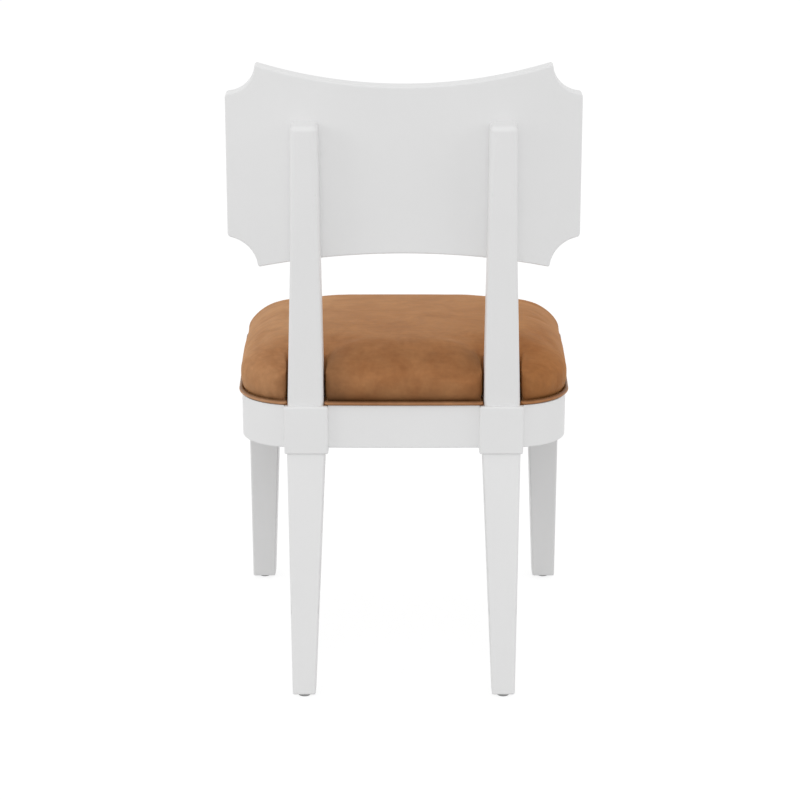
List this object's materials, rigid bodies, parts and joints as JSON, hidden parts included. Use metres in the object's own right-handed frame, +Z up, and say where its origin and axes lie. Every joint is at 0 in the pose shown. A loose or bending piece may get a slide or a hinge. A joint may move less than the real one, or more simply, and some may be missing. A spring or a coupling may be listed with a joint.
{
  "type": "upholstered dining chair",
  "caption": "Dining chair with a white lacquered wood frame, curved scallop-cornered back panel on rear posts, crowned tan leather seat with a welt, and tapered legs on glides.",
  "frame": {"origin": "on the floor under the middle of the chair's footprint", "axes": "+Z up, the sitter faces -Y, the sitter's left is +X"},
  "size_m": [0.4948, 0.5111, 0.8892],
  "materials": {
    "white_lacquer": "satin white lacquer sprayed over hardwood",
    "raw_beech": "planed, unfinished",
    "birch_plywood": "sanded plywood",
    "seat_foam": "cut polyurethane foam",
    "tan_leather": "pull-up leather with a soft sheen",
    "cotton_cord": "twisted cotton",
    "black_cambric": "non-woven cambric",
    "zinc_steel": "zinc plated",
    "grey_plastic": "moulded matte"
  },
  "bodies": {
    "root": {"rear_leg_left": "white_lacquer", "rear_leg_right": "white_lacquer", "front_leg_left": "white_lacquer", "front_leg_right": "white_lacquer", "rear_rail": "white_lacquer", "front_rail": "white_lacquer", "side_rail_left": "white_lacquer", "side_rail_right": "white_lacquer", "back_panel": "white_lacquer", "corner_block_front_left": "raw_beech", "corner_block_front_right": "raw_beech", "corner_block_rear_left": "raw_beech", "corner_block_rear_right": "raw_beech", "rail_dowels": "raw_beech", "back_dowels": "raw_beech", "seat_board": "birch_plywood", "seat_foam": "seat_foam", "seat_cover": "tan_leather", "welt": "tan_leather", "welt_cord": "cotton_cord", "dust_cover": "black_cambric", "corner_block_screws": "zinc_steel", "cover_staples": "zinc_steel", "seat_bolts": "zinc_steel", "seat_washers": "zinc_steel", "seat_tee_nuts": "zinc_steel", "glide_nails": "zinc_steel", "glide_rear_left": "grey_plastic", "glide_rear_right": "grey_plastic", "glide_front_left": "grey_plastic", "glide_front_right": "grey_plastic"}
  },
  "joints": []
}
